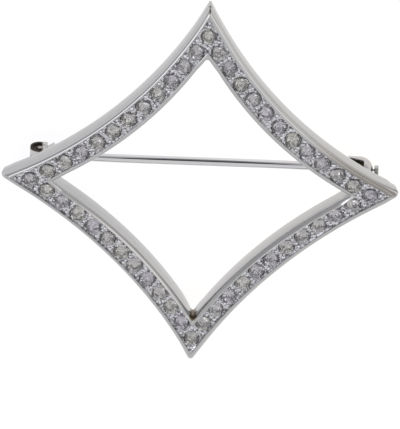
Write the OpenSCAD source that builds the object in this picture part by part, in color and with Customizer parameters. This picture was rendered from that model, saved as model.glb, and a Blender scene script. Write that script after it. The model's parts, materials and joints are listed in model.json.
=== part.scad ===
// Crystal brooch: an open, four-pointed frame with bowed-in sides and a paved front.
// A pin stem swings on a rivet behind the left point, and a turning catch behind the
// right point holds its tip. Millimetres. The brooch lies face up, as it rests by itself:
// on the hinge, the catch and the bottom point.
// Inside each module the brooch has its own axes: X to the right and Y to the top as seen
// from the front, Z out of the front, with Z = 0 where the frame is widest.

/* [Frame] */
// Centre to the sharp corner of the outer outline
outer_reach = 25.5; // [25:0.1:26.5]
// How far the middle of an outer side bows in
outer_bow = 2.92; // [2.6:0.01:3.2]
// Centre to the sharp corner of the opening
inner_reach = 18.95; // [18.6:0.05:19.2]
// How far the middle of an inner side bows in
inner_bow = 1.75; // [1.6:0.05:2.0]
// Centre to the blunted left and right points
tip_x = 25.05; // [24.7:0.01:25.1]
// Centre to the blunted top point
top_y = 25.22; // [24.7:0.01:25.3]
// Centre to the blunted bottom point
bottom_y = 25.06; // [24.7:0.01:25.2]
// Radius of the gentle dome of the face
dome_r = 240; // [200:10:400]
// Height of the rims above the widest level
rim_h = 0.45; // [0.3:0.05:0.6]
// Depth of the frame behind the widest level
wall_h = 2.5; // [2.3:0.1:2.8]

/* [Paved channel] */
// Centre to the outer corner of the channel
channel_outer_reach = 24.1; // [23.8:0.05:24.3]
// How far the outer side of the channel bows in
channel_outer_bow = 2.47; // [2.4:0.01:2.6]
// Centre to the inner corner of the channel
channel_inner_reach = 19.95; // [19.8:0.05:20.2]
// How far the inner side of the channel bows in
channel_inner_bow = 1.94; // [1.85:0.01:2.0]
// Depth of the channel below the rims
channel_depth = 0.9; // [0.7:0.05:1.1]
// Gap between the crystals and the metal
crystal_gap = 0.03; // [0.02:0.01:0.05]

/* [Pin] */
// Radius of the pin stem
stem_r = 0.525; // [0.45:0.025:0.55]
// Height of the pin above the brooch's middle
pin_y = 1.33; // [1.1:0.05:1.5]
// Distance from the widest level back to the pin's centre
pin_depth = 5.2; // [5.1:0.05:5.5]
// Where the shank at the eye ends, to the left of the middle
shank_x = 18.0; // [17.5:0.1:18.2]
// Where the stem starts to taper, to the right of the middle
taper_x = 16.5; // [15:0.5:17.5]
// Where the point ends
point_x = 20.35; // [19.9:0.05:20.4]
// Radius of the blunted point
point_r = 0.08; // [0.05:0.01:0.12]

/* [Hinge] */
// Distance of the rivet to the left of the middle
hinge_x = 20.35; // [20:0.05:20.6]
// Radius of the rivet
rivet_r = 0.35; // [0.3:0.05:0.4]
// Radius of the stem's eye
eye_r = 0.95; // [0.85:0.05:1.0]
// Thickness of each ear
ear_t = 0.35; // [0.3:0.05:0.4]
// Half the width of each ear
ear_r = 1.25; // [1.15:0.05:1.3]

/* [Catch] */
// Outer radius of the catch housing
housing_r = 1.65; // [1.6:0.05:1.75]
// Inner radius of the catch housing
barrel_r = 1.25; // [1.2:0.05:1.3]
// Left end of the housing
housing_x = 18.5; // [18.4:0.05:18.8]
// Where the straight part of the housing ends and its round end begins
round_x = 20.05; // [20:0.05:20.2]
// Half the width of the mouth
mouth_half = 0.625; // [0.6:0.025:0.65]
// Height of the window in the housing's upper side, from the pin's centre to the front
window_h = 1.1; // [0.9:0.05:1.15]
// Thickness of the lever
lever_t = 0.5; // [0.4:0.05:0.55]
// Centre of the roller to the end of the lever
lever_l = 2.0; // [1.8:0.1:2.3]

/* [Hidden] */
// How far a cutting shape reaches past what it cuts
past = 0.5;
running_gap = 0.05;
fixed_gap = 0.02;
large_steps = 360;
ball_steps = 96;
round_steps = 64;
bore_steps = 48;
metal_colour = "silver";

// Hinge: half widths across the rivet, outwards from the middle
eye_rim = 0.025;
eye_half = stem_r + eye_rim;
ear_in = eye_half + running_gap;
ear_out = ear_in + ear_t;
eye_bore_r = rivet_r + running_gap;
ear_bore_r = rivet_r + fixed_gap;
rivet_head_r = 0.55;
rivet_head_t = 0.18;
dish_r = 0.95;
dish_t = 0.15;
base_t = 0.35;
sunk = 0.4;
spur_x = 18.65;
spur_end_x = 18.42;
spur_drop = 0.5;
notch_drop = 0.95;

// Catch: the mouth's lips are the lowest line of the housing
lip_drop = sqrt(housing_r * housing_r - mouth_half * mouth_half);
foot_depth = pin_depth + lip_drop;
lip_r = 0.9;
lip_t = 0.2;
end_gap = 0.1;
roller_r = barrel_r - running_gap;
pin_gap = 0.125;
roller_bore_r = stem_r + pin_gap;
roller_x = housing_x + lip_t + running_gap;
point_gap = 0.15;
sleeve_end_x = point_x + point_gap;
disc_t = 0.35;
disc_end_x = sleeve_end_x + disc_t;
barrel_end_x = disc_end_x + end_gap;
neck_r = 0.3;
neck_l = 0.3;
neck_end_x = round_x + housing_r + neck_l;
lever_half = 0.62;
pedestal_half = 0.8;
pedestal_end_x = 21.2;

// The dome is a part of a sphere, whose centre is far behind the brooch
function dome_drop(distance) = dome_r - sqrt(dome_r * dome_r - distance * distance);
dome_z = rim_h - dome_r;
back_r = dome_r - rim_h - wall_h;
floor_r = dome_r - channel_depth;
low_z = -wall_h - 2 * dome_drop(outer_reach);

// Each side is an arc that bows in. Its circle's centre lies on a diagonal, outside
function side_r(reach, bow) = (reach * reach / 2 + bow * bow) / (2 * bow);
function side_centre(reach, bow) = (reach / sqrt(2) - bow + side_r(reach, bow)) / sqrt(2);

// Resting pose: the bottom point, the mouth's lower lip and the lower ear touch one flat
// surface
tip_depth = wall_h + dome_drop(bottom_y);
lip_y = pin_y - mouth_half;
rest_tilt = atan((foot_depth - tip_depth) / (lip_y + bottom_y));
rest_lift = foot_depth * cos(rest_tilt) - lip_y * sin(rest_tilt);
ear_depth = foot_depth - (ear_out - mouth_half) * tan(rest_tilt);
rest_top = top_y * cos(rest_tilt) + (wall_h + dome_drop(top_y)) * sin(rest_tilt);
rest_bottom = bottom_y * cos(rest_tilt) + (rim_h - dome_drop(bottom_y)) * sin(rest_tilt);
rest_shift = (rest_bottom - rest_top) / 2;

module at_rest() {
    translate([0, rest_shift, rest_lift])
        rotate([rest_tilt, 0, 0])
            children();
}

// Flat shape with four bowed-in sides. The square reaches past the points, so that each
// point is where two circles cross.
module bowed_shape(reach, bow) {
    centre = side_centre(reach, bow);
    difference() {
        rotate(45)
            square((reach + past) * sqrt(2), center = true);
        for (sx = [-1, 1])
            for (sy = [-1, 1])
                translate([sx * centre, sy * centre])
                    circle(r = side_r(reach, bow), $fn = large_steps);
    }
}

// The outer outline, with its four points blunted
module outer_shape() {
    intersection() {
        bowed_shape(outer_reach, outer_bow);
        translate([-tip_x, -bottom_y])
            square([2 * tip_x, top_y + bottom_y]);
    }
}

module dome(r) {
    translate([0, 0, dome_z])
        sphere(r = r, $fn = large_steps);
}

module upright(low, high) {
    translate([0, 0, low])
        linear_extrude(high - low)
            children();
}

// A shape drawn in X and Z, given its thickness along Y about the pin's line
module across_pin(low, high) {
    translate([0, pin_y + high, 0])
        rotate([90, 0, 0])
            linear_extrude(high - low)
                children();
}

module along_pin(x, length, r) {
    tapered_along_pin(x, length, r, r);
}

module tapered_along_pin(x, length, r_left, r_right) {
    translate([x, pin_y, -pin_depth])
        rotate([0, 90, 0])
            cylinder(r1 = r_left, r2 = r_right, h = length, $fn = round_steps);
}

// Open ring between the outline and the opening, domed in front and behind
module ring_body() {
    intersection() {
        upright(low_z, rim_h)
            difference() {
                outer_shape();
                bowed_shape(inner_reach, inner_bow);
            }
        difference() {
            dome(dome_r);
            dome(back_r);
        }
    }
}

module channel_cut() {
    difference() {
        upright(low_z, rim_h + past)
            difference() {
                bowed_shape(channel_outer_reach, channel_outer_bow);
                bowed_shape(channel_inner_reach, channel_inner_bow);
            }
        dome(floor_r);
    }
}

// One ear, seen along the rivet: round on the left, square on the right, with a pointed
// spur beside it
module ear_shape() {
    left = -hinge_x - ear_r;
    right = -hinge_x + ear_r;
    top = -wall_h - sunk;
    translate([-hinge_x, -ear_depth + ear_r])
        circle(r = ear_r, $fn = round_steps);
    polygon([
        [left, -ear_depth + ear_r],
        [-hinge_x, -ear_depth + ear_r],
        [-hinge_x, -ear_depth],
        [right, -ear_depth],
        [right, -ear_depth + notch_drop],
        [-spur_x, -ear_depth],
        [-spur_end_x, -ear_depth + spur_drop],
        [-spur_end_x, top],
        [left, top]
    ]);
}

module ear_dish(y) {
    translate([-hinge_x, pin_y + y, -pin_depth])
        rotate([90, 0, 0])
            cylinder(r = dish_r, h = 2 * dish_t, center = true, $fn = round_steps);
}

module hinge_bracket() {
    left = -hinge_x - ear_r;
    difference() {
        union() {
            across_pin(-ear_out, -ear_in)
                ear_shape();
            across_pin(ear_in, ear_out)
                ear_shape();
            translate([left, pin_y - ear_out, -wall_h - dome_drop(hinge_x) - base_t])
                cube([-spur_end_x - left, 2 * ear_out, dome_drop(hinge_x) + base_t - sunk]);
        }
        ear_dish(-ear_out);
        ear_dish(ear_out);
        translate([-hinge_x, pin_y, -pin_depth])
            rotate([90, 0, 0])
                cylinder(r = ear_bore_r, h = 3 * ear_out, center = true, $fn = bore_steps);
    }
}

module catch_housing() {
    difference() {
        union() {
            along_pin(housing_x, round_x - housing_x, housing_r);
            intersection() {
                translate([round_x, pin_y, -pin_depth])
                    sphere(r = housing_r, $fn = ball_steps);
                translate([round_x, pin_y - housing_r - past, -pin_depth - housing_r - past])
                    cube([housing_r + past, 2 * (housing_r + past), 2 * (housing_r + past)]);
            }
            translate([housing_x, pin_y - pedestal_half, -pin_depth + roller_r])
                cube([
                    pedestal_end_x - housing_x,
                    2 * pedestal_half,
                    pin_depth - roller_r - wall_h - sunk
                ]);
        }
        along_pin(housing_x + lip_t, barrel_end_x - housing_x - lip_t, barrel_r);
        along_pin(housing_x - past, 2 * past + lip_t, lip_r);
        along_pin(barrel_end_x - past, neck_end_x - barrel_end_x + past, neck_r + running_gap);
        translate([housing_x - past, pin_y - mouth_half, -pin_depth - housing_r - past])
            cube([sleeve_end_x - housing_x + past, 2 * mouth_half, housing_r + past]);
        translate([housing_x + lip_t, pin_y, -pin_depth])
            cube([sleeve_end_x - housing_x - lip_t, housing_r + past, window_h]);
    }
}

module frame() {
    color(metal_colour)
        at_rest() {
            difference() {
                ring_body();
                channel_cut();
            }
            hinge_bracket();
            catch_housing();
        }
}

// The paved row stands in the channel, level with the rims
module crystals() {
    color("lightsteelblue")
        at_rest()
            intersection() {
                upright(low_z, rim_h)
                    difference() {
                        bowed_shape(channel_outer_reach - 2 * crystal_gap, channel_outer_bow);
                        bowed_shape(channel_inner_reach + 2 * crystal_gap, channel_inner_bow);
                    }
                difference() {
                    dome(dome_r);
                    dome(floor_r + crystal_gap);
                }
            }
}

module hinge_rivet() {
    head_in = ear_out - dish_t + fixed_gap;
    color(metal_colour)
        at_rest()
            translate([-hinge_x, pin_y, -pin_depth])
                rotate([90, 0, 0]) {
                    cylinder(r = rivet_r, h = 2 * head_in + rivet_head_t, center = true, $fn = bore_steps);
                    for (side = [-1, 1])
                        translate([0, 0, side * (head_in + rivet_head_t / 2)])
                            cylinder(r = rivet_head_r, h = rivet_head_t, center = true, $fn = bore_steps);
                }
}

module pin_stem() {
    color(metal_colour)
        at_rest()
            difference() {
                union() {
                    tapered_along_pin(-hinge_x, hinge_x - shank_x, eye_half, stem_r);
                    along_pin(-shank_x, shank_x + taper_x, stem_r);
                    tapered_along_pin(taper_x, point_x - taper_x, stem_r, point_r);
                    translate([-hinge_x, pin_y, -pin_depth])
                        rotate([90, 0, 0])
                            cylinder(r = eye_r, h = 2 * eye_half, center = true, $fn = round_steps);
                }
                translate([-hinge_x, pin_y, -pin_depth])
                    rotate([90, 0, 0])
                        cylinder(r = eye_bore_r, h = 4 * eye_half, center = true, $fn = bore_steps);
            }
}

// The sleeve is open at the housing's mouth, so that the pin can swing out
module catch_roller() {
    color(metal_colour)
        at_rest() {
            difference() {
                along_pin(roller_x, disc_end_x - roller_x, roller_r);
                along_pin(roller_x - past, sleeve_end_x - roller_x + past, roller_bore_r);
                translate([roller_x - past, pin_y - mouth_half, -pin_depth - roller_r - past])
                    cube([sleeve_end_x - roller_x + past, 2 * mouth_half, roller_r + past]);
            }
            along_pin(disc_end_x - fixed_gap, neck_end_x - disc_end_x + 2 * fixed_gap, neck_r);
            along_pin(neck_end_x, lever_t, lever_half);
            translate([neck_end_x, pin_y - lever_l, -pin_depth - lever_half])
                cube([lever_t, lever_l, 2 * lever_half]);
        }
}

frame();
crystals();
hinge_rivet();
pin_stem();
catch_roller();
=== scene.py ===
"""Crystal brooch: its looks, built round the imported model.

Sizes are in millimetres and in the brooch's own axes: X to the right and Y to the top as seen
from the front, Z out of the face, and Z = 0 where the frame is widest. to_row turns them into
the row's metres.
"""

import json
import math
import random

import bmesh
import bpy
from mathutils import Matrix, Vector


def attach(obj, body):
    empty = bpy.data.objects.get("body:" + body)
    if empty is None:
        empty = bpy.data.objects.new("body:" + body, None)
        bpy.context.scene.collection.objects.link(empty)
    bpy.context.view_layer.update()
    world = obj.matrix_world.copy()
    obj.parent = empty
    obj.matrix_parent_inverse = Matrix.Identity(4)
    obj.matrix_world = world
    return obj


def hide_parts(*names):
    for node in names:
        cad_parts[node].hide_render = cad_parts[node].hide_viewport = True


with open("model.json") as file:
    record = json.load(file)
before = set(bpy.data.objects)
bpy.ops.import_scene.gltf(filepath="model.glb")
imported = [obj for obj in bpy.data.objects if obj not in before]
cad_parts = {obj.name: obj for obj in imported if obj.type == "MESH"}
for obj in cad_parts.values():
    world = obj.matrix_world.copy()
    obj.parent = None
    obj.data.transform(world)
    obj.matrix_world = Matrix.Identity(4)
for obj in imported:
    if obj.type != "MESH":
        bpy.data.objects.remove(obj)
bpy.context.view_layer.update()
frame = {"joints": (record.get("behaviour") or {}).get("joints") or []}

MM = 0.001
ROOT2 = math.sqrt(2)

# Outlines: the centre to a sharp corner, and how far the middle of a side bows in
OUTER = (25.5, 2.92)
CHANNEL_OUTER = (24.1, 2.47)
CHANNEL_INNER = (19.95, 1.94)
INNER = (18.95, 1.75)
STONE_LINE = (21.41, 1.765)

# Corner radii of the outlines at the top, right, bottom and left points
OUTER_CORNERS = (0.24, 0.42, 0.42, 0.42)
CHANNEL_CORNERS = (0.08, 0.08, 0.1, 0.08)
INNER_CORNERS = (0.3, 0.12, 0.3, 0.12)

# The dome's radius, and the levels of the rims, the bed between them and the back
DOME_R = 240
RIM = 0.45
BED = 0.1
BACK = -2.5

# Stones: how many, their radii and their levels
STONES_A_SIDE = 12
STONE_COUNT = 4 * STONES_A_SIDE
STONE_R = 1.03
TABLE_R = 0.58
GIRDLE = 0.14
TABLE = 0.44
CULET = -0.58
SEAT_R = 1.08

# The pin's line, and how far left on it the hinge is
PIN_Y = 1.33
PIN_Z = -5.2
PIN_LINE = (0, PIN_Y, PIN_Z)
HINGE_X = 20.35
HINGE_AT = (-HINGE_X, PIN_Y, PIN_Z)

# How the outlines are sampled. A cell is one stone's share of a side
CORNER_STEPS = 6
CELL_STEPS = 10
HALF_CELL = 0.5 / STONES_A_SIDE
NEAR_CORNER = [HALF_CELL * part for part in (0.55, 0.7, 0.85)]
ALONG_SIDE = [
    HALF_CELL + i / (STONES_A_SIDE * CELL_STEPS) for i in range((STONES_A_SIDE - 1) * CELL_STEPS + 1)
]
FRACTIONS = NEAR_CORNER + ALONG_SIDE + [1 - part for part in reversed(NEAR_CORNER)]
PER_SIDE = 2 * CORNER_STEPS + 1 + len(FRACTIONS)
LOOP = 4 * PER_SIDE


def own_axes():
    """The brooch's own axes in the row, read from the hinge joint's place and direction."""
    hinge = next(j for j in frame["joints"] if j["name"] == "pin_stem_hinge")
    tilt = math.atan2(hinge["axis"][2], hinge["axis"][1])
    turn = Matrix.Rotation(tilt, 4, "X")
    origin = Vector(hinge["pos_m"]) - turn @ (Vector(HINGE_AT) * MM)
    return Matrix.Translation(origin) @ turn @ Matrix.Scale(MM, 4)


to_row = own_axes()


def add_object(name, data):
    thing = bpy.data.objects.new(name, data)
    bpy.context.scene.collection.objects.link(thing)
    return thing


# Camera

# The camera's turns about X, Y and Z from the brooch's face, in degrees
VIEW_TURNS = (28.6, -0.6, -2.88)
VIEW_DISTANCE = 1500
# What the picture spans at that distance, and how far its middle is moved sideways and down
VIEW_WIDTH = 50.31
VIEW_SIDE = -0.0126
VIEW_DROP = 3.025
SENSOR = 36
NEAREST_M = 0.1
FARTHEST_M = 10


def make_camera():
    rx, ry, rz = (math.radians(a) for a in VIEW_TURNS)
    turn = Matrix.Rotation(rx, 3, "X") @ Matrix.Rotation(ry, 3, "Y") @ Matrix.Rotation(rz, 3, "Z")
    axes = to_row.to_3x3().normalized() @ turn.transposed()
    right, up, back = (axes.col[i] for i in range(3))
    place = to_row.translation + (back * VIEW_DISTANCE - up * VIEW_DROP + right * VIEW_SIDE) * MM
    data = bpy.data.cameras.new("view")
    data.sensor_fit = "HORIZONTAL"
    data.sensor_width = SENSOR
    data.lens = VIEW_DISTANCE * SENSOR / VIEW_WIDTH
    data.clip_start = NEAREST_M
    data.clip_end = FARTHEST_M
    camera = add_object("view", data)
    camera.matrix_world = Matrix.Translation(place) @ axes.to_4x4()
    bpy.context.scene.camera = camera


class Nodes:
    """A short way to write node trees."""

    def __init__(self, tree):
        self.tree = tree
        tree.nodes.clear()

    def add(self, kind, inputs=None, **settings):
        node = self.tree.nodes.new(kind)
        for name, value in settings.items():
            setattr(node, name, value)
        for name, value in (inputs or {}).items():
            self.feed(node.inputs[name], value)
        return node

    def feed(self, socket, value):
        if isinstance(value, bpy.types.NodeSocket):
            self.tree.links.new(value, socket)
        else:
            socket.default_value = value

    def math(self, operation, a, b, c):
        return self.add("ShaderNodeMath", {0: a, 1: b, 2: c}, operation=operation).outputs[0]

    def vector_math(self, operation, inputs, **settings):
        return self.add("ShaderNodeVectorMath", inputs, operation=operation, **settings)

    def mix(self, factor, a, b):
        """From colour a to colour b."""
        node = self.add("ShaderNodeMix", {0: factor}, data_type="RGBA")
        for name, value in (("A", a), ("B", b)):
            socket = next(s for s in node.inputs if s.name == name and s.type == "RGBA")
            self.feed(socket, (*value, 1) if isinstance(value, tuple) else value)
        return next(s for s in node.outputs if s.type == "RGBA")

    def ramp(self, value, start, end, low=0.0, high=1.0, smooth=False):
        """low where value is at start, high where it is at end, and no further."""
        inputs = {"Value": value, "From Min": start, "From Max": end, "To Min": low, "To Max": high}
        kind = "SMOOTHSTEP" if smooth else "LINEAR"
        return self.add("ShaderNodeMapRange", inputs, interpolation_type=kind).outputs[0]

    def cloud(self, place, scale, detail):
        inputs = {"Vector": place, "Scale": scale, "Detail": detail}
        return self.add("ShaderNodeTexNoise", inputs).outputs["Fac"]

    def surface(self, inputs):
        shader = self.add("ShaderNodeBsdfPrincipled", inputs)
        self.add("ShaderNodeOutputMaterial", {"Surface": shader.outputs[0]})


def new_material(name):
    """A material with its nodes, and the place in space that its textures are drawn in."""
    material = bpy.data.materials.new(name)
    material.use_nodes = True
    n = Nodes(material.node_tree)
    return material, n, n.add("ShaderNodeTexCoord").outputs["Object"]


# Studio light and floor


def direction(across, along):
    """A direction that leans from straight up, in degrees towards +X and +Y."""
    return Vector((math.tan(math.radians(across)), math.tan(math.radians(along)), 1)).normalized()


# Soft boxes and dark screens in an even surround: where they are, inner and outer radius in
# degrees, and how much light they add in red, green and blue
SURROUND = (0.86, 0.86, 0.86)
PATCHES = [
    ("left", direction(-31, 0), 7, 13, (1.5, 1.5, 1.6)),
    ("right", direction(44, 4), 8, 20, (0.6, 0.58, 0.54)),
    ("lamp", direction(-13, -10), 3, 8, (2.0, 2.0, 2.0)),
    ("screen", direction(0, 41), 8, 34, (-0.72, -0.72, -0.72)),
    ("lens", direction(0, 27), 3, 9, (-0.22, -0.22, -0.22)),
    ("low left screen", direction(-61, 44), 14, 30, (-0.3, -0.3, -0.28)),
    ("low right screen", direction(61, 44), 14, 30, (-0.15, -0.15, -0.15)),
]
BACKDROP = (1.0, 1.0, 1.0, 1.0)


def studio_world():
    """The light from all round, and an even backdrop where the camera sees past the floor."""
    world = bpy.data.worlds.new("studio")
    bpy.context.scene.world = world
    world.use_nodes = True
    n = Nodes(world.node_tree)
    towards = n.add("ShaderNodeTexCoord").outputs["Generated"]
    total = SURROUND
    for name, where, inner, outer, tint in PATCHES:
        dot = n.vector_math("DOT_PRODUCT", {0: towards, 1: where}, label=name).outputs["Value"]
        edge = math.cos(math.radians(outer))
        full = math.cos(math.radians(inner))
        mask = n.ramp(dot, edge, full, smooth=True)
        light = n.vector_math("SCALE", {0: tint, "Scale": mask}).outputs[0]
        total = n.vector_math("ADD", {0: total, 1: light}).outputs[0]
    lit = n.add("ShaderNodeBackground", {"Color": total})
    seen = n.add("ShaderNodeBackground", {"Color": BACKDROP})
    camera_ray = n.add("ShaderNodeLightPath").outputs["Is Camera Ray"]
    both = n.add("ShaderNodeMixShader", {0: camera_ray, 1: lit.outputs[0], 2: seen.outputs[0]})
    n.add("ShaderNodeOutputWorld", {"Surface": both.outputs[0]})


# The floor, in metres: half its width, and how far from the middle its tint goes on changing
FLOOR_HALF = 3.0
FLOOR_TINT_HALF = 0.03
FLOOR_GLOW = 0.92
FLOOR_LEFT = (0.98, 0.98, 1.0)
FLOOR_RIGHT = (1.05, 1.03, 1.0)
FLOOR_COLOUR = (0.15, 0.15, 0.15, 1)
FLOOR_ROUGH = 0.9


def make_floor():
    mesh = bpy.data.meshes.new("floor")
    h = FLOOR_HALF
    mesh.from_pydata([(-h, -h, 0), (h, -h, 0), (h, h, 0), (-h, h, 0)], [], [(0, 1, 2, 3)])
    material, n, place = new_material("pale_floor")
    across = n.add("ShaderNodeSeparateXYZ", {0: place}).outputs["X"]
    side = n.ramp(across, -FLOOR_TINT_HALF, FLOOR_TINT_HALF, smooth=True)
    n.surface(
        {
            "Base Color": FLOOR_COLOUR,
            "Roughness": FLOOR_ROUGH,
            "Specular IOR Level": 0.0,
            "Emission Color": n.mix(side, FLOOR_LEFT, FLOOR_RIGHT),
            "Emission Strength": FLOOR_GLOW,
        }
    )
    mesh.materials.append(material)
    add_object("floor", mesh)


# Materials

# The mesh attribute that tells how dark the metal is painted, from 0 to 1: painted shade on walls, in
# creases and in the findings, and a few dark marks. Up to the first level below a brown covers the
# metal more and more, and from there it turns black
PAINTED_SHADE_AND_MARKS = "painted_shade_and_marks"
BROWN_COVERS = 0.7
SHADE_AND_MARK_BROWN = (0.12, 0.085, 0.052)
SHADE_AND_MARK_BLACK = (0.025, 0.021, 0.016)
SHADE_AND_MARK_ROUGH = 0.25

# How fine the metals' textures are (features per metre), how hair scratches are drawn out and
# turned, and how high they are against the ripples
CLOUD_SCALE = 900
SCRATCH_STRETCH = (400, 2600, 2600)
SCRATCH_TURN = (0, 0, 0.6)
SCRATCH_SCALE = 4.0
SCRATCH_HEIGHT = 0.04
RIPPLE_SCALE = 420
RIPPLE_M = 0.0001
GLOSS_VARIES = 0.3


def metal(name, dark, light, rough, ripple, cloud_scale=CLOUD_SCALE, cloud_half=0.5, metallic=1.0):
    """Polished metal: a cloudy tone, uneven gloss, hair scratches, slow ripples, and painted shade and
    dark marks.

    cloud_half is small where the tone changes sharply from dark to light."""
    material, n, place = new_material(name)
    tone = n.ramp(n.cloud(place, cloud_scale, detail=3.0), 0.5 - cloud_half, 0.5 + cloud_half)
    drawn_out = n.add(
        "ShaderNodeMapping", {"Vector": place, "Scale": SCRATCH_STRETCH, "Rotation": SCRATCH_TURN}
    )
    scratch = n.cloud(drawn_out.outputs[0], SCRATCH_SCALE, detail=2.0)
    wave = n.cloud(place, RIPPLE_SCALE, detail=1.0)
    # Painted shade and dark marks from the mesh attribute turn the metal brown, then black
    painted_shade_and_marks = n.add("ShaderNodeAttribute", attribute_name=PAINTED_SHADE_AND_MARKS).outputs["Fac"]
    covered = n.ramp(painted_shade_and_marks, 0.0, BROWN_COVERS)
    blackened = n.ramp(painted_shade_and_marks, BROWN_COVERS, 1.0)
    shade_and_mark_colour = n.mix(blackened, SHADE_AND_MARK_BROWN, SHADE_AND_MARK_BLACK)
    polish = n.ramp(scratch, 0.3, 0.7, rough * (1 - GLOSS_VARIES), rough * (1 + GLOSS_VARIES))
    height = n.math("MULTIPLY_ADD", scratch, SCRATCH_HEIGHT, wave)
    bump = n.add("ShaderNodeBump", {"Height": height, "Strength": ripple, "Distance": RIPPLE_M})
    n.surface(
        {
            "Base Color": n.mix(covered, n.mix(tone, dark, light), shade_and_mark_colour),
            "Metallic": metallic,
            "Roughness": n.math("MULTIPLY_ADD", painted_shade_and_marks, SHADE_AND_MARK_ROUGH, polish),
            "Normal": bump.outputs[0],
        }
    )
    return material


def polished_rhodium():
    """The frame's plating."""
    return metal("polished_rhodium", (0.47, 0.47, 0.48), (0.53, 0.53, 0.53), rough=0.1, ripple=0.25)


def bed_with_painted_glints():
    """The bed between the stones, cut with a graver: each cut is painted bright or dark, a painted
    reflection of the light it catches.
    """
    # Painted reflection: the dark and light tones stand for cuts that catch no light and cuts that do
    dark = (0.13, 0.13, 0.14)
    light = (0.68, 0.675, 0.71)
    return metal("bed_with_painted_glints", dark, light, rough=0.16, ripple=1.0, cloud_scale=2600, cloud_half=0.13)


# A lighter copy of the frame's metal: a painted highlight on the grains
def grain_with_painted_highlight():
    return metal("grain_with_painted_highlight", (0.58, 0.58, 0.62), (0.74, 0.74, 0.77), rough=0.1, ripple=0.3)


def foil_back():
    """The silvering behind the stones."""
    dark = (0.64, 0.635, 0.67)
    light = (0.84, 0.835, 0.82)
    return metal("foil_back", dark, light, rough=0.05, ripple=0.1, metallic=0.76)


def pin_steel():
    return metal("pin_steel", (0.63, 0.62, 0.64), (0.70, 0.69, 0.71), rough=0.05, ripple=0.12)


def plated_findings():
    """The hinge and the catch's housing."""
    return metal("plated_findings", (0.48, 0.47, 0.47), (0.58, 0.57, 0.57), rough=0.2, ripple=0.4)


def satin_lever():
    return metal("satin_lever", (0.48, 0.48, 0.47), (0.55, 0.55, 0.54), rough=0.42, ripple=0.3)


CRYSTAL_VIOLET = (0.935, 0.905, 0.985)
CRYSTAL_WARM = (0.975, 0.965, 0.905)
TINT_SCALE = 300
TINT_RANGE = (0.38, 0.62)
CRYSTAL_IOR = 1.56


def crystal():
    """Clear cut glass, from stone to stone a little more violet or warmer."""
    material, n, place = new_material("crystal")
    tint = n.ramp(n.cloud(place, TINT_SCALE, detail=1.0), *TINT_RANGE)
    n.surface(
        {
            "Base Color": n.mix(tint, CRYSTAL_VIOLET, CRYSTAL_WARM),
            "Roughness": 0.0,
            "IOR": CRYSTAL_IOR,
            "Transmission Weight": 1.0,
        }
    )
    return material


# Sums and meshes that several parts use


def smooth_step(past, over=1):
    """0 up to past = 0, 1 from past = over on, and a smooth rise between."""
    x = min(max(past / over, 0), 1)
    return x * x * (3 - 2 * x)


def between(a, b, part):
    return tuple(p + (q - p) * part for p, q in zip(a, b))


def arc_steps(count):
    """A quarter turn in count equal steps, as angles from 0."""
    return [math.pi / 2 * i / count for i in range(count + 1)]


def dome_drop(x, y):
    """How far the domed face lies below its middle there."""
    return DOME_R - math.sqrt(DOME_R**2 - x * x - y * y)


def domed(point, level):
    return Vector((point[0], point[1], level - dome_drop(*point)))


def strip(first, second, count):
    """Faces between two closed loops of points, given where each loop starts."""
    return [
        (first + i, first + (i + 1) % count, second + (i + 1) % count, second + i)
        for i in range(count)
    ]


def facing_outwards(mesh):
    bm = bmesh.new()
    bm.from_mesh(mesh)
    bmesh.ops.recalc_face_normals(bm, faces=bm.faces)
    bm.to_mesh(mesh)
    bm.free()
    return mesh


def smoothed(mesh, sharp_angle):
    """Smooth shading, but for edges that turn by more than sharp_angle degrees."""
    mesh.shade_smooth()
    mesh.set_sharp_from_angle(angle=math.radians(sharp_angle))
    return mesh


def row_mesh(name, verts, faces):
    """A mesh in the row's metres, from points in the brooch's own axes."""
    mesh = bpy.data.meshes.new(name)
    mesh.from_pydata([to_row @ Vector(v) for v in verts], [], faces)
    return facing_outwards(mesh)


def set_painted_shade_and_marks(mesh, values):
    mesh.attributes.new(PAINTED_SHADE_AND_MARKS, "FLOAT", "POINT").data.foreach_set("value", values)


def add_piece(name, mesh, body, materials, stands_for=()):
    for material in materials:
        mesh.materials.append(material)
    piece = add_object(name, mesh)
    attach(piece, body)
    if stands_for:
        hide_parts(*stands_for)


# Outlines: four arcs that bow in, with a small round at each of the four points


def side_radius(reach, bow):
    return (reach * reach / 2 + bow * bow) / (2 * bow)


def side_centre(reach, bow):
    """The arc's centre is this far along X and along Y."""
    return (reach / ROOT2 - bow + side_radius(reach, bow)) / ROOT2


def on_circle(centre, radius, angle):
    return (centre[0] + radius * math.cos(angle), centre[1] + radius * math.sin(angle))


def side_points(reach, bow, first_r, last_r):
    """One side, from the point at the top to just before the one at the right."""
    big = side_radius(reach, bow)
    c = side_centre(reach, bow)
    first = (0, c - math.sqrt((big + first_r) ** 2 - c * c))
    last = (c - math.sqrt((big + last_r) ** 2 - c * c), 0)
    first_turn = math.atan2(c - first[1], c)
    last_turn = math.atan2(c, c - last[0])
    start = first_turn + math.pi
    end = last_turn + math.pi
    first_l = first_r * (math.pi / 2 - first_turn)
    last_l = last_r * last_turn
    side_l = big * (end - start)
    total = first_l + side_l + last_l
    points = []
    for i in range(CORNER_STEPS + 1):
        angle = math.pi / 2 + (first_turn - math.pi / 2) * i / CORNER_STEPS
        points.append(on_circle(first, first_r, angle))
    for fraction in FRACTIONS:
        part = (fraction * total - first_l) / side_l
        points.append(on_circle((c, c), big, start + (end - start) * part))
    for i in range(CORNER_STEPS):
        angle = last_turn * (1 - i / CORNER_STEPS)
        points.append(on_circle(last, last_r, angle))
    return points


def quarter_turned(point, turns):
    x, y = point
    for _ in range(turns):
        x, y = y, -x
    return (x, y)


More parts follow.
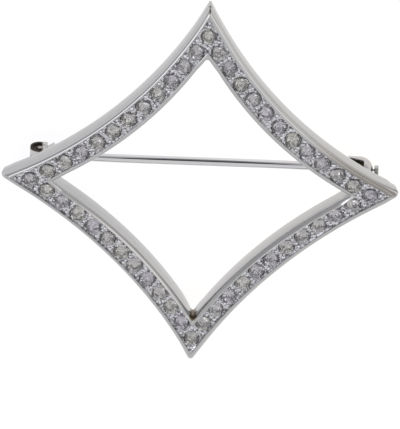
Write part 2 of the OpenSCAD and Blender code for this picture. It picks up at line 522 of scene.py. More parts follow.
def outline(shape, corners):
    """The points of one closed outline, from the top point to the right and on round."""
    points = []
    for side in range(4):
        next_corner = corners[(side + 1) % 4]
        for point in side_points(*shape, corners[side], next_corner):
            points.append(quarter_turned(point, side))
    return points


# How far the opening's corners are filled in: the inner rim's two edges at the top, right,
# bottom and left
INNER_FILL = (0.35, 0.22, 0.0, 0.4)
CHANNEL_FILL = (0.5, 0.38, 0.0, 0.6)
FILL_REACH = 2.4


def with_filled_corners(points, fills):
    """The outline with its corners moved towards the middle, and less so the points near them."""
    moved = []
    for point in points:
        place = Vector(point)
        for side, fill in enumerate(fills):
            tip = Vector(points[side * PER_SIDE])
            near = max(0, 1 - math.dist(point, tip) / FILL_REACH)
            place -= tip.normalized() * fill * near
        moved.append(tuple(place))
    return moved


# Frame: rims, channel bed with its seats, walls and back. Where the hand polishing left the
# sides uneven, and for the painted shade on them, a value is given for each: upper right, lower
# right, lower left, upper left

SHOULDER_STEPS = 10
ROUND_STEPS = 6
CREASE_STEPS = 6
# How much of the last step is left to the crest, so that it stays crisp
CREST_SHARE = 0.12
# The rims' rounded edges to the channel: across as a part of the rim's width, and down
EDGE = 0.05
EDGE_MIDDLE = (0.6 * EDGE, 0.012)

# The inner rim, its shoulder down to the wall, and the wall's round into the back
INNER_WIDTH = 0.52
INNER_SHOULDER = (0.55, 0.88, 0.88, 0.55)
INNER_SHOULDER_DROP = (0.25, 0.86, 0.63, 0.25)
CREST_TILT = (0, 44, 33, 0)
INNER_WALL_LEVEL = -1.0
# Painted shade darkening each side's inner wall
INNER_WALL_SHADE = (0.0, 0.07, 0.11, 0.0)
INNER_BACK_ROUND = (0.3, 0.38, 0.18, 0.3)
INNER_BACK_FLARE = (0.0, 0.0, 0.12, 0.0)

# The outer rim, the crease round the outer wall, and the round into the back
OUTER_WIDTH = 0.46
OUTER_FLAT = (0.3, 0.3, 0.3, 0.15)
CREASE_LEVEL = (0.15, -0.5, -0.5, -0.6)
CREASE_DEPTH = (0.38, 0.15, 0.15, 0.02)
CREASE_HALF = (0.4, 0.1, 0.1, 0.1)
# Painted shade: a dark line along each side's crease
CREASE_SHADE = (0.4, 0.3, 0.3, 0.0)
# Painted shade darkening each side's outer wall
OUTER_WALL_SHADE = (0.0, 0.03, 0.03, 0.08)
OUTER_BACK_ROUND = (0.35, 0.5, 0.5, 0.85)

# How much wider than usual each side's rims are
INNER_STRETCH = (1.0, 1.3, 1.05, 1.0)
OUTER_STRETCH = (1.0, 1.3, 1.0, 1.05)

# Near a corner, within this part of a side, the two sides' values run into each other
CORNER_BLEND = 0.1


def wider(section, stretch):
    return [(across * stretch, level, painted_shade_and_marks) for across, level, painted_shade_and_marks in section]


def inner_section(side):
    """From the back over the inner rim to the bed: part of the rim's width, level and painted shade."""
    back_round = INNER_BACK_ROUND[side]
    wall_shade = INNER_WALL_SHADE[side]
    section = []
    for angle in arc_steps(ROUND_STEPS):
        across = (back_round * (1 - math.sin(angle)) - INNER_BACK_FLARE[side]) / INNER_WIDTH
        section.append((across, BACK + back_round * (1 - math.cos(angle)), 0))
    section.append((0.0, INNER_WALL_LEVEL, wall_shade))
    shoulder = INNER_SHOULDER[side]
    drop = INNER_SHOULDER_DROP[side]
    stop = math.radians(90 - CREST_TILT[side])
    for i in [*range(SHOULDER_STEPS), SHOULDER_STEPS - CREST_SHARE, SHOULDER_STEPS]:
        angle = stop * i / SHOULDER_STEPS
        across = shoulder * (1 - math.cos(angle)) / (1 - math.cos(stop))
        level = RIM - drop * (1 - math.sin(angle) / math.sin(stop))
        section.append((across, level, wall_shade * math.cos(angle)))
    edge_across, edge_drop = EDGE_MIDDLE
    section += [(1 - 2 * EDGE, RIM, 0), (1 - edge_across, RIM - edge_drop, 0), (1.0, RIM - EDGE, 0)]
    return wider(section, INNER_STRETCH[side])


def outer_section(side):
    """From the bed over the outer rim and the crease to the back."""
    crease = CREASE_LEVEL[side]
    back_round = OUTER_BACK_ROUND[side]
    flat = OUTER_FLAT[side]
    edge_across, edge_drop = EDGE_MIDDLE
    section = [(0.0, RIM - EDGE, 0), (edge_across, RIM - edge_drop, 0), (2 * EDGE, RIM, 0)]
    for angle in arc_steps(SHOULDER_STEPS):
        across = flat + (1 - flat) * math.sin(angle)
        painted_shade_and_marks = OUTER_WALL_SHADE[side] * math.sin(angle)
        section.append((across, RIM - (RIM - crease) * (1 - math.cos(angle)), painted_shade_and_marks))
    for i in range(1, CREASE_STEPS + 1):
        depth = math.sin(math.pi * i / CREASE_STEPS) ** 2
        level = crease - 2 * CREASE_HALF[side] * i / CREASE_STEPS
        painted_shade_and_marks = CREASE_SHADE[side] * depth + OUTER_WALL_SHADE[side]
        section.append((1 - CREASE_DEPTH[side] * depth, level, painted_shade_and_marks))
    for angle in arc_steps(ROUND_STEPS):
        across = 1 - back_round / OUTER_WIDTH * (1 - math.cos(angle))
        section.append((across, BACK + back_round * (1 - math.sin(angle)), 0))
    return wider(section, OUTER_STRETCH[side])


def side_shares():
    """For each point of an outline, how much each side's own values count there."""
    shares = []
    fractions = [0] * (CORNER_STEPS + 1) + FRACTIONS + [1] * CORNER_STEPS
    for side in range(4):
        for fraction in fractions:
            share = [0.0] * 4
            before = 0.5 * (1 - smooth_step(fraction, CORNER_BLEND))
            after = 0.5 * (1 - smooth_step(1 - fraction, CORNER_BLEND))
            share[side - 1] += before
            share[(side + 1) % 4] += after
            share[side] += 1 - before - after
            shares.append(share)
    return shares


# At the left and right points, which end at TIP, the wall bulges at NOSE_LEVEL, and its front
# and back edges stand back
TIP = 24.99
NOSE_REACH = 1.8
LEFT_NOSE_BACK = 0.08
RIGHT_NOSE_BACK = 0.25
NOSE_PULL = 0.32
NOSE_PUSH = 0.1
NOSE_LEVEL = -0.8
NOSE_HALF = 1.5


def with_nose(point, level):
    reach = abs(point[0])
    near = smooth_step(reach - TIP + NOSE_REACH, NOSE_REACH)
    away = min(abs(level - NOSE_LEVEL) / NOSE_HALF, 1) ** 2
    back = RIGHT_NOSE_BACK if point[0] > 0 else LEFT_NOSE_BACK
    move = near * (NOSE_PUSH * (1 - away) - NOSE_PULL * away - back)
    outwards = 1 if point[0] > 0 else -1
    return (point[0] + move * outwards, point[1])


# In the bottom corner of the opening the wall slants: how far it moves down at the back and up
# at the front
SLANT_REACH = 1.4
SLANT_BACK = 0.28
SLANT_FRONT = 0.3


def with_slant(point, level):
    away = math.dist(point, (0, -INNER[0]))
    near = smooth_step(1 - away / SLANT_REACH)
    forward = (level - BACK) / (RIM - BACK)
    return (point[0], point[1] + near * (forward * (SLANT_FRONT + SLANT_BACK) - SLANT_BACK))


# The dark patch in that corner
CORNER_PATCH_AT = (0.1, -18.9)
CORNER_PATCH_MOST = 0.8
CORNER_PATCH_R = 0.9
CORNER_PATCH_FADE = 0.35
CORNER_PATCH_TOP = 0.35
CORNER_PATCH_TOP_FADE = 0.15
CORNER_PATCH_BACK_FADE = 0.4


def corner_patch(point, level):
    near = smooth_step(CORNER_PATCH_R - math.dist(point, CORNER_PATCH_AT), CORNER_PATCH_FADE)
    below_rim = smooth_step(CORNER_PATCH_TOP - level, CORNER_PATCH_TOP_FADE)
    return CORNER_PATCH_MOST * near * below_rim * smooth_step(level - BACK, CORNER_PATCH_BACK_FADE)


# Painted shade on the upper right side's outer rim, which grows towards the right point. A point
# is on an outer wall there if its X and Y add up to OUTSIDE_SUM
RIM_SHADE_MOST = 0.36
RIM_SHADE_FROM = 12
RIM_SHADE_FULL = 20
RIM_SHADE_LOW = 0.05
RIM_SHADE_FADE = 0.1
OUTSIDE_SUM = 21


def rim_shade(point, level):
    x, y = point
    if y < 0 or x + y < OUTSIDE_SUM:
        return 0
    along = smooth_step(x - RIM_SHADE_FROM, RIM_SHADE_FULL - RIM_SHADE_FROM)
    return RIM_SHADE_MOST * along * smooth_step(level - RIM_SHADE_LOW, RIM_SHADE_FADE)


# The dark line down the ridge of the top point
RIDGE_MOST = 0.55
RIDGE_HALF = 0.11
RIDGE_FADE = 0.06
RIDGE_IN = 24.6
RIDGE_LOW = -0.7


def ridge_line(point, level):
    x, y = point
    if y < RIDGE_IN:
        return 0
    across = smooth_step(RIDGE_HALF - abs(x), RIDGE_FADE)
    return RIDGE_MOST * across * smooth_step(level - RIDGE_LOW, RIDGE_FADE)


def section_loops(verts, painted_shade_and_marks, section, from_points, to_points, shares):
    """A closed loop of points for each station of a section; gives where each loop starts."""
    sides = [section(side) for side in range(4)]
    starts = []
    for station in range(len(sides[0])):
        starts.append(len(verts))
        for point, other, share in zip(from_points, to_points, shares):
            across, level, section_shade = (
                sum(part * sides[side][station][i] for side, part in enumerate(share)) for i in range(3)
            )
            # What stands past the outline fades out at the corners
            if across < 0:
                across *= 2 * max(share) - 1
            place = with_slant(with_nose(between(point, other, across), level), level)
            verts.append(domed(place, level))
            marks = (corner_patch(place, level), rim_shade(place, level), ridge_line(place, level))
            painted_shade_and_marks.append(max(section_shade, *marks))
    return starts


# The stones nearest to the bottom point sit a little lower than the even spacing
BOTTOM_SHIFT = 0.4
BOTTOM_SHIFT_REACH = 5.5


def stone_centres():
    """Where the stones sit, round the frame from the top point."""
    reach, bow = STONE_LINE
    big = side_radius(reach, bow)
    c = side_centre(reach, bow)
    start = math.atan2(reach - c, -c) % math.tau
    end = math.atan2(-c, reach - c) % math.tau
    centres = []
    for side in range(4):
        for i in range(STONES_A_SIDE):
            angle = start + (end - start) * i / STONES_A_SIDE
            x, y = quarter_turned(on_circle((c, c), big, angle), side)
            away = math.dist((x, y), (0, -reach))
            low = smooth_step(BOTTOM_SHIFT_REACH - away, BOTTOM_SHIFT_REACH)
            centres.append((x, y - BOTTOM_SHIFT * low))
    return centres


# The bed. A seat's rings: part of its radius, and level from the bed's. A seat reaches at most
# SEAT_SHARE of the way to its cell's edge
DIVISION_STEPS = 4
SEAT_RINGS = [(1.0, 0.0), (0.975, -0.03), (0.965, -0.3), (0.72, -0.5), (0.36, -0.82)]
SEAT_BOTTOM = -1.05
SEAT_SHARE = 0.985


def division_index(stone):
    """Where the outlines cross from this stone's cell to the next one's."""
    side, place = divmod(stone, STONES_A_SIDE)
    return side * PER_SIDE + CORNER_STEPS + 1 + len(NEAR_CORNER) + place * CELL_STEPS


def bed_cells(verts, faces, outer_start, inner_start, centres):
    """The bed's top between the two rims, with a round seat for each stone."""
    divisions = []
    for stone in range(STONE_COUNT):
        index = division_index(stone)
        a = verts[outer_start + index]
        b = verts[inner_start + index]
        row = [outer_start + index]
        for i in range(1, DIVISION_STEPS):
            row.append(len(verts))
            verts.append(a.lerp(b, i / DIVISION_STEPS))
        row.append(inner_start + index)
        divisions.append(row)
    for stone, centre in enumerate(centres):
        first = division_index(stone - 1)
        last = division_index(stone)
        edge = [outer_start + i % LOOP for i in range(first, last)]
        edge += divisions[stone][:-1]
        edge += [inner_start + i % LOOP for i in range(last, first, -1)]
        edge += divisions[stone - 1][:0:-1]
        seat_ring(verts, faces, edge, centre)


def seat_ring(verts, faces, edge, centre):
    """One cell's bed, from its edge in to the seat and down to the seat's bottom."""
    middle = Vector(centre)
    before = edge
    for part, drop in SEAT_RINGS:
        ring = []
        for index in edge:
            away = verts[index].xy - middle
            reach = min(SEAT_R, SEAT_SHARE * away.length) * part
            ring.append(len(verts))
            verts.append(domed(middle + away.normalized() * reach, BED + drop))
        for i in range(len(edge)):
            j = (i + 1) % len(edge)
            faces.append((before[i], before[j], ring[j], ring[i]))
        before = ring
    tip = len(verts)
    verts.append(domed(centre, SEAT_BOTTOM))
    for i in range(len(before)):
        faces.append((before[i], before[(i + 1) % len(before)], tip))


# The bed rises into the channel's four tips
TIP_RISE = 0.27
TIP_RISE_REACH = 1.6


def bed_loop(points):
    """The bed's edge along one of the channel's outlines."""
    loop = []
    for point in points:
        reach = max(abs(point[0]), abs(point[1]))
        rise = TIP_RISE * max(0, 1 - (CHANNEL_OUTER[0] - reach) / TIP_RISE_REACH)
        loop.append(domed(point, BED + rise))
    return loop


def make_frame(centres):
    """The whole frame. Its bed has a second material."""
    verts = []
    faces = []
    painted_shade_and_marks = []
    shares = side_shares()
    inner_edge = with_filled_corners(outline(INNER, INNER_CORNERS), INNER_FILL)
    channel_inner = with_filled_corners(outline(CHANNEL_INNER, CHANNEL_CORNERS), CHANNEL_FILL)
    channel_outer = outline(CHANNEL_OUTER, CHANNEL_CORNERS)
    outer_edge = outline(OUTER, OUTER_CORNERS)
    inner_loops = section_loops(verts, painted_shade_and_marks, inner_section, inner_edge, channel_inner, shares)
    outer_loops = section_loops(verts, painted_shade_and_marks, outer_section, channel_outer, outer_edge, shares)
    inner_bed = len(verts)
    verts += bed_loop(channel_inner)
    outer_bed = len(verts)
    verts += bed_loop(channel_outer)
    chain = [outer_bed] + outer_loops + inner_loops + [inner_bed]
    for a, b in zip(chain, chain[1:]):
        faces += strip(a, b, LOOP)
    in_bed = [0] * len(faces)
    bed_cells(verts, faces, outer_bed, inner_bed, centres)
    in_bed += [1] * (len(faces) - len(in_bed))
    painted_shade_and_marks += [0] * (len(verts) - len(painted_shade_and_marks))
    mesh = smoothed(row_mesh("frame_body", verts, faces), sharp_angle=40)
    mesh.polygons.foreach_set("material_index", in_bed)
    set_painted_shade_and_marks(mesh, painted_shade_and_marks)
    return mesh


# Stones

# A cut stone has FACETS facets in a round, and twice as many at its widest
FACETS = 8
GIRDLE_HALF = 0.03
# Rings between the table and the girdle, and between the culet and the girdle: the part of the
# way out, and of the way up
STAR = (0.42, 0.62)
BELLY = (0.68, 0.64)
KEEL = (0.34, 0.3)


def stone_points():
    """One cut stone about its own axis: points, crown faces, pavilion faces, and the number of
    the first point below the girdle."""
    points = []
    rings = []

    def ring(radius, level, count, offset):
        rings.append(len(points))
        for i in range(count):
            angle = math.tau * (i + offset) / count
            points.append(Vector((radius * math.cos(angle), radius * math.sin(angle), level)))

    many = 2 * FACETS
    star_r = TABLE_R + (STONE_R - TABLE_R) * STAR[0]
    star_level = GIRDLE + GIRDLE_HALF + (TABLE - GIRDLE) * STAR[1]
    ring(TABLE_R, TABLE, FACETS, 0)
    ring(star_r, star_level, FACETS, 0.5)
    ring(STONE_R, GIRDLE + GIRDLE_HALF, many, 0)
    ring(STONE_R, GIRDLE - GIRDLE_HALF, many, 0)
    ring(STONE_R * BELLY[0], CULET + BELLY[1] * (GIRDLE - CULET), many, 0.5)
    ring(STONE_R * KEEL[0], CULET + KEEL[1] * (GIRDLE - CULET), FACETS, 0.5)
    culet = len(points)
    points.append(Vector((0, 0, CULET)))
    table, star, top, low, belly, keel = rings
    crown = [tuple(table + i for i in range(FACETS))]
    pavilion = []
    for i in range(FACETS):
        j = (i + 1) % FACETS
        here = 2 * i
        mid = here + 1
        after = (here + 2) % many
        crown.append((table + i, star + i, table + j))
        crown.append((table + i, star + (i - 1) % FACETS, top + here, star + i))
        crown.append((star + i, top + here, top + mid))
        crown.append((star + i, top + mid, top + after))
        pavilion.append((keel + i, belly + here, belly + mid))
        pavilion.append((keel + i, belly + mid, keel + j))
        pavilion.append((belly + mid, belly + after, keel + j))
        pavilion.append((keel + i, keel + j, culet))
    for i in range(many):
        j = (i + 1) % many
        crown.append((top + i, low + i, low + j, top + j))
        pavilion.append((low + i, low + j, belly + i))
        pavilion.append((low + j, belly + j, belly + i))
    return points, crown, pavilion, belly


STONE_SEED = 7
STONE_TURN = math.radians(2.2)
FACET_JITTER = 0.15


def make_stones(centres):
    """The stones, each turned and leaning a little. Their backs have a second material."""
    draw = random.Random(STONE_SEED)
    points, crown, pavilion, first_inner = stone_points()
    verts = []
    faces = []
    foil = []
    for centre in centres:
        base = domed(centre, 0)
        outwards = Vector((centre[0], centre[1], DOME_R)).normalized()
        seat = Vector((0, 0, 1)).rotation_difference(outwards).to_matrix()
        lean = Matrix.Rotation(draw.uniform(-STONE_TURN, STONE_TURN), 3, "X")
        lean = lean @ Matrix.Rotation(draw.uniform(-STONE_TURN, STONE_TURN), 3, "Y")
        spin = Matrix.Rotation(draw.uniform(0, math.tau), 3, "Z")
        start = len(verts)
        for i, point in enumerate(points):
            if i >= first_inner:
                point = point * draw.uniform(1 - FACET_JITTER, 1)
            verts.append(base + seat @ lean @ spin @ point)
        faces += [tuple(start + i for i in face) for face in crown + pavilion]
        foil += [0] * len(crown) + [1] * len(pavilion)
    mesh = row_mesh("crystal_row", verts, faces)
    mesh.polygons.foreach_set("material_index", foil)
    return mesh


# Grain beads. Their sizes are parts of BEAD_R

BEAD_SEED = 11
BEAD_R = 0.27
BEAD_HEIGHT = 0.6
BEAD_SIDE = 12
BEAD_RINGS = 7
BEAD_OVAL = (0.85, 1.1)
# Beads at both sides of a gap: how far from the stones' line, and the size
GAP_BEADS = ((0.84, 1.0), (0.4, 0.75))
GAP_OUT_JITTER = 0.08
GAP_ALONG_JITTER = 0.07
GAP_SIZES = (0.75, 1.15)
GAP_LEVELS = (-0.06, 0.05)
# Small grains round each stone
SMALL_GRAINS = 7
SMALL_AWAY = (0.06, 0.16)
SMALL_SIZES = (0.35, 0.6)
SMALL_RISE = 0.02
# Beads between the stone in a point and the channel's tip: how far from the stone, and the size
TIP_BEADS = ((1.38, 1.0), (1.95, 0.7))
TIP_BEAD_SLOPE = 0.12
TIP_BEAD_DROP = 0.08


def add_bead(verts, faces, point, radius, level, draw):
    start = len(verts)
    oval = draw.uniform(*BEAD_OVAL)
    for ring in range(1, BEAD_RINGS):
        polar = math.pi * ring / BEAD_RINGS
        for i in range(BEAD_SIDE):
            angle = math.tau * i / BEAD_SIDE
            x = radius * math.sin(polar) * math.cos(angle) * oval
            y = radius * math.sin(polar) * math.sin(angle) / oval
            height = BEAD_HEIGHT * radius * math.cos(polar)
            verts.append(domed((point[0] + x, point[1] + y), level + height))
    for ring in range(BEAD_RINGS - 2):
        faces += strip(start + ring * BEAD_SIDE, start + (ring + 1) * BEAD_SIDE, BEAD_SIDE)
    top = len(verts)
    verts.append(domed(point, level + BEAD_HEIGHT * radius))
    verts.append(domed(point, level - BEAD_HEIGHT * radius))
    low = start + (BEAD_RINGS - 2) * BEAD_SIDE
    for i in range(BEAD_SIDE):
        j = (i + 1) % BEAD_SIDE
        faces.append((top, start + i, start + j))
        faces.append((top + 1, low + j, low + i))


def make_beads(centres):
    """Grains raised from the bed: at the gaps, round the stones and in the four tips."""
    draw = random.Random(BEAD_SEED)
    verts = []
    faces = []
    for stone, centre in enumerate(centres):
        a = Vector(centre)
        b = Vector(centres[(stone + 1) % STONE_COUNT])
        middle = (a + b) / 2
        along = (b - a).normalized()
        out = Vector((along.y, -along.x))
        if out.dot(middle) < 0:
            out = -out
        for side in (-1, 1):
            for away, size in GAP_BEADS:
                shift = out * (side * away + draw.uniform(-GAP_OUT_JITTER, GAP_OUT_JITTER))
                shift += along * draw.uniform(-GAP_ALONG_JITTER, GAP_ALONG_JITTER)
                radius = BEAD_R * size * draw.uniform(*GAP_SIZES)
                level = BED + draw.uniform(*GAP_LEVELS)
                add_bead(verts, faces, tuple(middle + shift), radius, level, draw)
        for _ in range(SMALL_GRAINS):
            angle = draw.uniform(0, math.tau)
            place = on_circle(a, STONE_R + draw.uniform(*SMALL_AWAY), angle)
            radius = BEAD_R * draw.uniform(*SMALL_SIZES)
            add_bead(verts, faces, place, radius, BED + SMALL_RISE, draw)
        if stone % STONES_A_SIDE == 0:
            for away, size in TIP_BEADS:
                place = tuple(a + a.normalized() * away)
                level = BED + TIP_BEAD_SLOPE * away - TIP_BEAD_DROP
                add_bead(verts, faces, place, BEAD_R * size, level, draw)
    return smoothed(row_mesh("grain_beads", verts, faces), sharp_angle=180)


# Findings on the back, worked out of plain shapes in the brooch's own axes

# Cutting shapes go past what they cut, and joined shapes a little into each other
CUT_PAST = 0.5
OVERLAP = 0.02
# How finely edges are rounded off
VOXEL = 0.045
SMOOTH_FACTOR = 0.5
SMOOTH_TIMES = 3


def shape_object(verts, faces):
    mesh = bpy.data.meshes.new("shape")
    mesh.from_pydata(verts, [], faces)
    return add_object("shape", facing_outwards(mesh))


def turned(profile, axis, centre, steps=64):
    """A turned shape: profile gives (place along the axis, radius), axis is X or Y."""
    verts = []
    faces = []
    for place, radius in profile:
        for i in range(steps):
            angle = math.tau * i / steps
            a, b = radius * math.cos(angle), radius * math.sin(angle)
            offset = (place, a, b) if axis == "X" else (a, place, b)
            verts.append(Vector(centre) + Vector(offset))
    for ring in range(len(profile) - 1):
        faces += strip(ring * steps, (ring + 1) * steps, steps)
    faces += [tuple(range(steps)), tuple(range(len(verts) - steps, len(verts)))]
    return shape_object(verts, faces)


def rod(axis, centre, low, high, radius):
    return turned([(low, radius), (high, radius)], axis, centre)


def block(low, high):
    verts = [(x, y, z) for x in (low[0], high[0]) for y in (low[1], high[1]) for z in (low[2], high[2])]
    faces = [(0, 1, 3, 2), (4, 6, 7, 5), (0, 4, 5, 1), (2, 3, 7, 6), (0, 2, 6, 4), (1, 5, 7, 3)]
    return shape_object(verts, faces)


def plate(points, low, high):
    """A plate drawn in X and Z, from low to high along Y."""
    count = len(points)
    verts = [(x, y, z) for y in (low, high) for x, z in points]
    faces = strip(0, count, count)
    faces += [tuple(range(count)), tuple(range(count, 2 * count))]
    return shape_object(verts, faces)


def taken_over(shape):
    """The shape's mesh, in the row's metres and without its object."""
    mesh = shape.data
    bpy.data.objects.remove(shape)
    mesh.transform(to_row)
    return mesh


def with_modifiers(base):
    """The object's mesh with its modifiers carried out."""
    bpy.context.view_layer.update()
    graph = bpy.context.evaluated_depsgraph_get()
    return bpy.data.meshes.new_from_object(base.evaluated_get(graph))


def joined(base, added, cuts):
    """base with the added shapes joined to it, and then the cuts taken away."""
    steps = [("UNION", shape) for shape in added] + [("DIFFERENCE", shape) for shape in cuts]
    for operation, other in steps:
        modifier = base.modifiers.new(operation, "BOOLEAN")
        modifier.operation = operation
        modifier.solver = "EXACT"
        modifier.object = other
        mesh = with_modifiers(base)
        base.modifiers.clear()
        old = base.data
        base.data = mesh
        bpy.data.meshes.remove(old)
        bpy.data.meshes.remove(other.data)
    return base


def softened(base, name, painted_shade_at):
    """The shape with its edges and inner corners rounded, as a mesh in the row's metres.

    The last argument gives how much painted shade darkens the metal at a point, in the brooch's own
    axes."""
    remesh = base.modifiers.new("round", "REMESH")
    remesh.mode = "VOXEL"
    remesh.voxel_size = VOXEL
    remesh.use_smooth_shade = True
    smooth = base.modifiers.new("smooth", "SMOOTH")
    smooth.factor = SMOOTH_FACTOR
    smooth.iterations = SMOOTH_TIMES
    mesh = with_modifiers(base)
    mesh.name = name
    bpy.data.meshes.remove(base.data)
    set_painted_shade_and_marks(mesh, [painted_shade_at(vert.co) for vert in mesh.vertices])
    mesh.transform(to_row)
    mesh.shade_smooth()
    return mesh


# The level, inside the frame, where the findings end
FINDING_TOP = BACK - 0.3

# Hinge bracket: how far the ears reach left and right of the rivet, the level they reach down
# to, their inner and outer faces, and the dish round each end of the rivet
EAR_R = 1.25
EAR_LEFT_X = -HINGE_X - EAR_R
EAR_RIGHT = 0.95
EAR_Z = -6.69
EAR_IN = 0.6
EAR_OUT = 0.95
EAR_STEPS = 12
EAR_BORE_R = 0.37
DISH_R = 0.95
DISH_T = 0.15
BASE_T = 0.35
# The spur right of the ears, and the notch between
SPUR_X = 18.65
SPUR_END_X = 18.42
SPUR_DROP = 0.5
NOTCH_DROP = 0.95


def ear_points():
    right = -HINGE_X + EAR_RIGHT
    points = [(EAR_LEFT_X, FINDING_TOP)]
    for angle in arc_steps(EAR_STEPS):
        across = -HINGE_X - EAR_R * math.cos(angle)
        points.append((across, EAR_Z + EAR_R * (1 - math.sin(angle))))
    points += [
        (right, EAR_Z),
        (right, EAR_Z + NOTCH_DROP),
        (-SPUR_X, EAR_Z),
        (-SPUR_END_X, EAR_Z + SPUR_DROP),
        (-SPUR_END_X, FINDING_TOP),
    ]
    return points


# The painted black shade round the hinge: where it stops towards the right, its radius and its fade
BLACK_X = -19.95
BLACK_R = 1.5
BLACK_FADE = 0.25


def bracket_painted_shade(at):
    """Painted black shade round the hinge, up to the ears' rounded ends."""
    r = math.hypot(at.x + HINGE_X, at.z - PIN_Z)
    return smooth_step(BLACK_R - r, BLACK_FADE) * smooth_step(BLACK_X - at.x, BLACK_FADE)


def make_bracket():
    base_low = BACK - dome_drop(HINGE_X, 0) - BASE_T
    base = block((EAR_LEFT_X, PIN_Y - EAR_OUT, base_low), (-SPUR_END_X, PIN_Y + EAR_OUT, FINDING_TOP))
    ears = [
        plate(ear_points(), PIN_Y - EAR_OUT, PIN_Y - EAR_IN),
        plate(ear_points(), PIN_Y + EAR_IN, PIN_Y + EAR_OUT),
    ]
    cuts = [rod("Y", HINGE_AT, end - DISH_T, end + DISH_T, DISH_R) for end in (-EAR_OUT, EAR_OUT)]
    cuts.append(rod("Y", HINGE_AT, -EAR_OUT - CUT_PAST, EAR_OUT + CUT_PAST, EAR_BORE_R))
    return softened(joined(base, ears, cuts), "hinge_bracket", bracket_painted_shade)


# Pin stem: the wire's radius, where its taper starts and ends, and its slight bend
STEM_R = 0.545
STEM_PIECES = 24
STEM_ROUND = 48
SHANK_X = 18.0
TAPER_X = 16.5
TAPER_PIECES = 10
POINT_X = 20.35
POINT_R = 0.08
# The blunt point: how far from the end, and the radius there, both as parts of POINT_R
POINT_ROUND = ((0.3, 0.7), (0.0, 0.1))
STEM_BEND_END = 18.4
STEM_BEND_POWER = 6
STEM_SAG = 0.01
STEM_RISE = 0.0139
EYE_R = 0.95
EYE_HALF = 0.55
EYE_EDGE = 0.3
EYE_STEPS = 6
EYE_BORE_R = 0.4
# How far right of the rivet the wire starts, inside the eye
WIRE_START = 0.75


def stem_bend(x):
    """How far the wire is bent towards the top at x; its ends are straight."""
    middle = max(0, 1 - (x / STEM_BEND_END) ** STEM_BEND_POWER)
    return (STEM_SAG + STEM_RISE * x) * middle * middle


def eye_profile():
    """The eye's rounded section, as (place along the rivet, radius)."""
    points = []
    for angle in arc_steps(EYE_STEPS):
        place = -EYE_HALF + EYE_EDGE * (1 - math.sin(angle))
        points.append((place, EYE_R - EYE_EDGE * (1 - math.cos(angle))))
    return points[::-1] + [(-place, radius) for place, radius in points]


def make_stem():
    """The wire, with its long taper to a blunt point, and the eye round the rivet."""
    profile = [(-HINGE_X + WIRE_START, STEM_R)]
    for i in range(STEM_PIECES + 1):
        profile.append((-SHANK_X + (SHANK_X + TAPER_X) * i / STEM_PIECES, STEM_R))
    for i in range(1, TAPER_PIECES + 1):
        part = i / TAPER_PIECES
        place = TAPER_X + (POINT_X - POINT_R - TAPER_X) * part
        profile.append((place, STEM_R + (POINT_R - STEM_R) * part))
    for short, part in POINT_ROUND:
        profile.append((POINT_X - short * POINT_R, part * POINT_R))
    wire = turned(profile, "X", PIN_LINE, steps=STEM_ROUND)
    for vert in wire.data.vertices:
        vert.co.y += stem_bend(vert.co.x)
    eye = turned(eye_profile(), "Y", HINGE_AT)
    bore = rod("Y", HINGE_AT, -EYE_HALF - CUT_PAST, EYE_HALF + CUT_PAST, EYE_BORE_R)
    return smoothed(taken_over(joined(eye, [wire], [bore])), sharp_angle=35)


# Rivet, with a low round head in each ear's dish
RIVET_R = 0.35
# Painted shade on the rivet in the ears' dishes
RIVET_SHADE = 0.35
HEAD_R = 0.34
HEAD_T = 0.18
HEAD_GAP = 0.02
HEAD_RIM = 0.02
HEAD_SIDE = 0.03


def make_rivet():
    head_in = EAR_OUT - DISH_T + HEAD_GAP
    crown_in = 2 * HEAD_SIDE
    half = [(head_in, RIVET_R), (head_in, HEAD_R - HEAD_RIM), (head_in + HEAD_SIDE, HEAD_R)]
    for angle in arc_steps(EYE_STEPS)[1:]:
        place = head_in + crown_in + (HEAD_T - crown_in) * math.sin(angle)
        half.append((place, HEAD_RIM + (HEAD_R - HEAD_RIM) * math.cos(angle)))
    profile = [(-place, radius) for place, radius in reversed(half)] + half
    mesh = taken_over(turned(profile, "Y", HINGE_AT, steps=STEM_ROUND))
    set_painted_shade_and_marks(mesh, [RIVET_SHADE] * len(mesh.vertices))
    return smoothed(mesh, sharp_angle=50)


# Catch: the housing from HOUSING_X to its round end, and the barrel in it for the roller
HOUSING_R = 1.65
HOUSING_X = 18.5
ROUND_X = 20.05
HOUSING_STEPS = 16
HOUSING_ROUND = 96
HOUSING_TIP_R = 0.02
BARREL_R = 1.25
BARREL_X = HOUSING_X + 0.2
ROLLER_PLAY = 0.05
ROLLER_R = BARREL_R - ROLLER_PLAY
SLEEVE_END = POINT_X + 0.15
DISC_END = SLEEVE_END + 0.35
BARREL_END = SLEEVE_END + 0.45
# The openings for the pin, which comes in from behind, and for the lever's neck
MOUTH_HALF = 0.625
MOUTH_R = 0.9
NECK_BORE_R = 0.22
# The slanting window in the side towards the top, from the pin's line
WINDOW_SLANT = 0.5
WINDOW_HIGH = 1.35
# The foot between the barrel and the frame
FOOT_HALF = 0.8
FOOT_END = 21.2
# The painted black shade inside starts this deep under the outside and this far behind FINDING_TOP
INSIDE_SHADE = 0.8
INSIDE_DEPTH = 0.15
INSIDE_DEPTH_FADE = 0.2
INSIDE_DROP = 0.9
INSIDE_DROP_FADE = 0.1


def housing_painted_shade(at):
    """Painted black shade inside the barrel."""
    off_axis = math.hypot(at.y - PIN_Y, at.z - PIN_Z)
    depth = HOUSING_R - math.hypot(off_axis, max(0, at.x - ROUND_X))
    inside = smooth_step(depth - INSIDE_DEPTH, INSIDE_DEPTH_FADE)
    return INSIDE_SHADE * inside * smooth_step(FINDING_TOP - INSIDE_DROP - at.z, INSIDE_DROP_FADE)


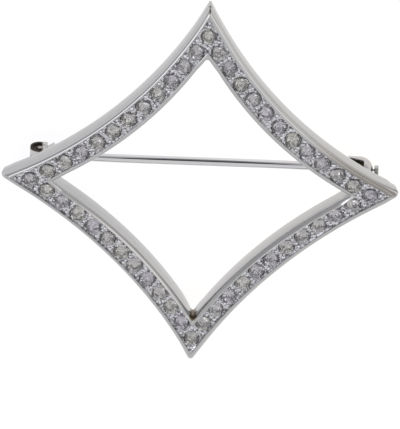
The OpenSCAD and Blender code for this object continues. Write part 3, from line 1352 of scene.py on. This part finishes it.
def mouth_cut(start, radius):
    """The slot for the pin, cut from behind through a tube of this radius that begins at start."""
    low = (start - CUT_PAST, PIN_Y - MOUTH_HALF, PIN_Z - radius - CUT_PAST)
    return block(low, (SLEEVE_END, PIN_Y + MOUTH_HALF, PIN_Z))


def make_housing():
    shell = [(HOUSING_X, HOUSING_R)]
    for angle in arc_steps(HOUSING_STEPS)[:-1]:
        shell.append((ROUND_X + HOUSING_R * math.sin(angle), HOUSING_R * math.cos(angle)))
    end = ROUND_X + HOUSING_R
    shell.append((end, HOUSING_TIP_R))
    base = turned(shell, "X", PIN_LINE, steps=HOUSING_ROUND)
    foot_low = (HOUSING_X, PIN_Y - FOOT_HALF, PIN_Z + ROLLER_R)
    foot = block(foot_low, (FOOT_END, PIN_Y + FOOT_HALF, FINDING_TOP))
    window = [
        (BARREL_X, PIN_Z),
        (SLEEVE_END, PIN_Z + WINDOW_SLANT),
        (SLEEVE_END, PIN_Z + WINDOW_HIGH),
        (BARREL_X, PIN_Z + WINDOW_HIGH),
    ]
    cuts = [
        rod("X", PIN_LINE, BARREL_X, BARREL_END, BARREL_R),
        rod("X", PIN_LINE, HOUSING_X - CUT_PAST, HOUSING_X + CUT_PAST, MOUTH_R),
        rod("X", PIN_LINE, BARREL_END - CUT_PAST, end + CUT_PAST, NECK_BORE_R),
        mouth_cut(HOUSING_X, HOUSING_R),
        plate(window, PIN_Y, PIN_Y + HOUSING_R + CUT_PAST),
    ]
    return softened(joined(base, [foot], cuts), "catch_housing", housing_painted_shade)


# Catch roller: a sleeve with a slot, a disc at its right end, and the lever on a thin neck
SLEEVE_ROOM = 0.125
LEVER_X = 21.9
LEVER_T = 0.5
LEVER_L = 2.0
LEVER_HALF = 0.62
NECK_R = 0.14
# Where the painted black shade on the sleeve ends, and its fade
SLEEVE_SHADE_END = POINT_X + 0.2
SLEEVE_SHADE_FADE = 0.1


def roller_painted_shade(at):
    """Painted black shade on the sleeve, none on the end disc and the lever."""
    return INSIDE_SHADE * smooth_step(SLEEVE_SHADE_END - at.x, SLEEVE_SHADE_FADE)


def make_roller():
    start = BARREL_X + ROLLER_PLAY
    base = rod("X", PIN_LINE, start, DISC_END, ROLLER_R)
    bore = rod("X", PIN_LINE, start - CUT_PAST, SLEEVE_END, STEM_R + SLEEVE_ROOM)
    lever = [
        rod("X", PIN_LINE, DISC_END - OVERLAP, LEVER_X + OVERLAP, NECK_R),
        rod("X", PIN_LINE, LEVER_X, LEVER_X + LEVER_T, LEVER_HALF),
        block(
            (LEVER_X, PIN_Y - LEVER_L, PIN_Z - LEVER_HALF),
            (LEVER_X + LEVER_T, PIN_Y, PIN_Z + LEVER_HALF),
        ),
    ]
    shape = joined(base, lever, [bore, mouth_cut(start, ROLLER_R)])
    return softened(shape, "catch_roller_piece", roller_painted_shade)


def main():
    bpy.context.scene.view_settings.view_transform = "Standard"
    make_camera()
    studio_world()
    make_floor()
    centres = stone_centres()
    findings = plated_findings()
    frame_metals = [polished_rhodium(), bed_with_painted_glints()]
    add_piece("frame_body", make_frame(centres), "brooch", frame_metals, ["frame"])
    stone_looks = [crystal(), foil_back()]
    add_piece("crystal_row", make_stones(centres), "brooch", stone_looks, ["crystals"])
    add_piece("grain_beads", make_beads(centres), "brooch", [grain_with_painted_highlight()])
    add_piece("hinge_bracket", make_bracket(), "brooch", [findings])
    add_piece("catch_housing", make_housing(), "brooch", [findings])
    add_piece("rivet", make_rivet(), "brooch", [findings], ["hinge_rivet"])
    add_piece("pin_wire", make_stem(), "pin_stem", [pin_steel()], ["pin_stem"])
    add_piece("roller", make_roller(), "catch_roller", [satin_lever()], ["catch_roller"])


main()
